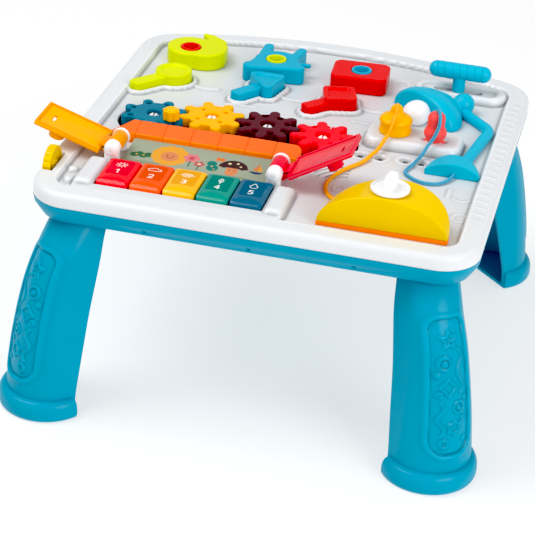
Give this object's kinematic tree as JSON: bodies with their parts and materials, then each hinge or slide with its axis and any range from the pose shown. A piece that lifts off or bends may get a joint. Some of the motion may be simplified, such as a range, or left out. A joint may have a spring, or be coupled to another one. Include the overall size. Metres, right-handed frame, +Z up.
{
  "type": "activity table",
  "caption": "Child's musical activity table on four splayed legs, with piano keys, turning gears, fold-over doors, lift-out shapes, corded plugs and a sliding handle.",
  "frame": {"origin": "on the floor under the middle of the table top", "axes": "+X to the right of somebody who faces the piano keys, +Y to the arched back edge, +Z up"},
  "size_m": [0.488, 0.518, 0.2841],
  "materials": {
    "top_shell": "glossy white injection moulding",
    "play_floor": "glossy white injection moulding",
    "door_hinge_posts": "glossy white",
    "bottom_shell": "glossy turquoise moulding",
    "leg_front_left": "glossy turquoise moulding",
    "leg_front_right": "glossy turquoise moulding",
    "leg_back_left": "glossy turquoise moulding",
    "leg_back_right": "glossy turquoise moulding",
    "leg_screws": "zinc plated",
    "shell_screws": "zinc plated",
    "battery_door": "satin",
    "battery_door_screw": "zinc plated",
    "batteries": "plain foil sleeve",
    "battery_contacts": "bare",
    "power_switch": "satin",
    "speaker": "paper cone in a plastic basket",
    "circuit_board": "lacquered board",
    "key_contact_pads": "matte",
    "piano_key_1": "glossy red",
    "piano_key_2": "glossy orange",
    "piano_key_3": "glossy yellow",
    "piano_key_4": "glossy green",
    "piano_key_5": "glossy dark blue",
    "key_hinge_rod": "drawn rod",
    "picture_panel": "printed card under clear film",
    "roof_panel": "satin orange",
    "gear_tray": "satin black",
    "gear_axles": "glossy white",
    "gear_teal": "glossy teal",
    "gear_yellow": "glossy yellow",
    "gear_maroon": "glossy maroon",
    "gear_red": "glossy red",
    "gear_crank_knob": "glossy yellow",
    "door_left": "glossy amber",
    "door_right": "translucent coral",
    "door_pins": "drawn pin",
    "thumbwheel": "glossy yellow",
    "thumbwheel_axle": "drawn pin",
    "round_block": "glossy lime",
    "round_block_ring": "glossy red",
    "winged_block": "glossy light blue",
    "winged_block_ring": "glossy lime",
    "square_block": "glossy red",
    "square_block_ring": "glossy light blue",
    "round_toy_key": "glossy lime",
    "triangle_toy_key": "glossy light blue",
    "square_toy_key": "glossy red",
    "half_moon_body": "glossy yellow",
    "half_moon_base": "glossy orange",
    "turning_knob": "glossy white",
    "lamp_shade": "glossy turquoise",
    "lamp_bulb": "glossy white",
    "lamp_arm": "glossy turquoise",
    "lamp_base": "glossy turquoise",
    "yellow_plug": "glossy amber",
    "coral_plug": "glossy coral",
    "yellow_cord": "soft vinyl cord",
    "blue_cord": "braided cord",
    "slide_handle": "glossy turquoise"
  },
  "bodies": {
    "table": {"top_shell": "top_shell", "play_floor": "play_floor", "door_hinge_posts": "door_hinge_posts", "bottom_shell": "bottom_shell", "leg_front_left": "leg_front_left", "leg_front_right": "leg_front_right", "leg_back_left": "leg_back_left", "leg_back_right": "leg_back_right", "leg_screws": "leg_screws", "shell_screws": "shell_screws", "battery_door": "battery_door", "battery_door_screw": "battery_door_screw", "batteries": "batteries", "battery_contacts": "battery_contacts", "speaker": "speaker", "circuit_board": "circuit_board", "key_contact_pads": "key_contact_pads", "key_hinge_rod": "key_hinge_rod", "picture_panel": "picture_panel", "roof_panel": "roof_panel", "gear_tray": "gear_tray", "gear_axles": "gear_axles", "door_pins": "door_pins", "thumbwheel_axle": "thumbwheel_axle", "half_moon_body": "half_moon_body", "half_moon_base": "half_moon_base", "lamp_shade": "lamp_shade", "lamp_bulb": "lamp_bulb", "lamp_arm": "lamp_arm", "lamp_base": "lamp_base", "yellow_cord": "yellow_cord", "blue_cord": "blue_cord"},
    "piano_key_1": {"piano_key_1": "piano_key_1"},
    "piano_key_2": {"piano_key_2": "piano_key_2"},
    "piano_key_3": {"piano_key_3": "piano_key_3"},
    "piano_key_4": {"piano_key_4": "piano_key_4"},
    "piano_key_5": {"piano_key_5": "piano_key_5"},
    "gear_teal": {"gear_teal": "gear_teal", "gear_crank_knob": "gear_crank_knob"},
    "gear_yellow": {"gear_yellow": "gear_yellow"},
    "gear_maroon": {"gear_maroon": "gear_maroon"},
    "gear_red": {"gear_red": "gear_red"},
    "door_left": {"door_left": "door_left"},
    "door_right": {"door_right": "door_right"},
    "thumbwheel": {"thumbwheel": "thumbwheel"},
    "turning_knob": {"turning_knob": "turning_knob"},
    "slide_handle": {"slide_handle": "slide_handle"},
    "power_switch": {"power_switch": "power_switch"},
    "round_block": {"round_block": "round_block", "round_block_ring": "round_block_ring"},
    "winged_block": {"winged_block": "winged_block", "winged_block_ring": "winged_block_ring"},
    "square_block": {"square_block": "square_block", "square_block_ring": "square_block_ring"},
    "round_toy_key": {"round_toy_key": "round_toy_key"},
    "triangle_toy_key": {"triangle_toy_key": "triangle_toy_key"},
    "square_toy_key": {"square_toy_key": "square_toy_key"},
    "yellow_plug": {"yellow_plug": "yellow_plug"},
    "coral_plug": {"coral_plug": "coral_plug"}
  },
  "joints": [
    {"name": "press_key_1", "type": "hinge", "parent": "table", "child": "piano_key_1", "pos_m": [-0.1423, -0.12, 0.2228], "axis": [1, 0, 0], "range_deg": [0, 4], "stiffness_Nm_per_rad": 0.8, "springref_deg": -4.58},
    {"name": "press_key_2", "type": "hinge", "parent": "table", "child": "piano_key_2", "pos_m": [-0.1089, -0.12, 0.2228], "axis": [1, 0, 0], "range_deg": [0, 4], "stiffness_Nm_per_rad": 0.8, "springref_deg": -4.58},
    {"name": "press_key_3", "type": "hinge", "parent": "table", "child": "piano_key_3", "pos_m": [-0.0755, -0.12, 0.2228], "axis": [1, 0, 0], "range_deg": [0, 4], "stiffness_Nm_per_rad": 0.8, "springref_deg": -4.58},
    {"name": "press_key_4", "type": "hinge", "parent": "table", "child": "piano_key_4", "pos_m": [-0.0421, -0.12, 0.2228], "axis": [1, 0, 0], "range_deg": [0, 4], "stiffness_Nm_per_rad": 0.8, "springref_deg": -4.58},
    {"name": "press_key_5", "type": "hinge", "parent": "table", "child": "piano_key_5", "pos_m": [-0.0087, -0.12, 0.2228], "axis": [1, 0, 0], "range_deg": [0, 4], "stiffness_Nm_per_rad": 0.8, "springref_deg": -4.58},
    {"name": "spin_gear_yellow", "type": "hinge", "parent": "table", "child": "gear_yellow", "pos_m": [-0.0905, 0.002, 0.234], "axis": [0, 0, 1], "continuous": true},
    {"name": "spin_gear_teal", "type": "hinge", "parent": "table", "child": "gear_teal", "pos_m": [-0.14859, -0.01302, 0.234], "axis": [0, 0, 1], "continuous": true},
    {"name": "spin_gear_maroon", "type": "hinge", "parent": "table", "child": "gear_maroon", "pos_m": [-0.03051, 0.00095, 0.234], "axis": [0, 0, 1], "continuous": true},
    {"name": "spin_gear_red", "type": "hinge", "parent": "table", "child": "gear_red", "pos_m": [0.02922, -0.0048, 0.234], "axis": [0, 0, 1], "continuous": true},
    {"name": "swing_door_left", "type": "hinge", "parent": "table", "child": "door_left", "pos_m": [-0.159, -0.106, 0.246], "axis": [0, 1, 0], "range_deg": [0, 170.3]},
    {"name": "swing_door_right", "type": "hinge", "parent": "table", "child": "door_right", "pos_m": [0.006, -0.106, 0.246], "axis": [0, -1, 0], "range_deg": [0, 157.2]},
    {"name": "roll_thumbwheel", "type": "hinge", "parent": "table", "child": "thumbwheel", "pos_m": [-0.2125, -0.148, 0.2312], "axis": [1, 0, 0], "continuous": true},
    {"name": "turn_knob", "type": "hinge", "parent": "table", "child": "turning_knob", "pos_m": [0.126, -0.16, 0.267], "axis": [0, 0, 1], "range_deg": [-60, 60]},
    {"name": "slide_grip", "type": "slide", "parent": "table", "child": "slide_handle", "axis": [1, 0, 0], "range_m": [-0.022, 0.022]},
    {"name": "slide_power_switch", "type": "slide", "parent": "table", "child": "power_switch", "axis": [1, 0, 0], "range_m": [0, 0.005]},
    {"name": "lift_round_block", "type": "slide", "parent": "table", "child": "round_block", "axis": [0, 0, 1], "range_m": [0, 0.05]},
    {"name": "lift_winged_block", "type": "slide", "parent": "table", "child": "winged_block", "axis": [0, 0, 1], "range_m": [0, 0.05]},
    {"name": "lift_square_block", "type": "slide", "parent": "table", "child": "square_block", "axis": [0, 0, 1], "range_m": [0, 0.05]},
    {"name": "lift_round_toy_key", "type": "slide", "parent": "table", "child": "round_toy_key", "axis": [0, 0, 1], "range_m": [0, 0.04]},
    {"name": "lift_triangle_toy_key", "type": "slide", "parent": "table", "child": "triangle_toy_key", "axis": [0, 0, 1], "range_m": [0, 0.04]},
    {"name": "lift_square_toy_key", "type": "slide", "parent": "table", "child": "square_toy_key", "axis": [0, 0, 1], "range_m": [0, 0.04]},
    {"name": "lift_yellow_plug", "type": "slide", "parent": "table", "child": "yellow_plug", "axis": [0, 0, 1], "range_m": [0, 0.03], "deforming": ["yellow_cord"]},
    {"name": "lift_coral_plug", "type": "slide", "parent": "table", "child": "coral_plug", "axis": [0, 0, 1], "range_m": [0, 0.03], "deforming": ["blue_cord"]}
  ],
  "couplings": [
    {"joint": "spin_gear_teal", "follows": "spin_gear_yellow", "ratio": -1},
    {"joint": "spin_gear_maroon", "follows": "spin_gear_yellow", "ratio": -1},
    {"joint": "spin_gear_red", "follows": "spin_gear_yellow", "ratio": 1}
  ]
}
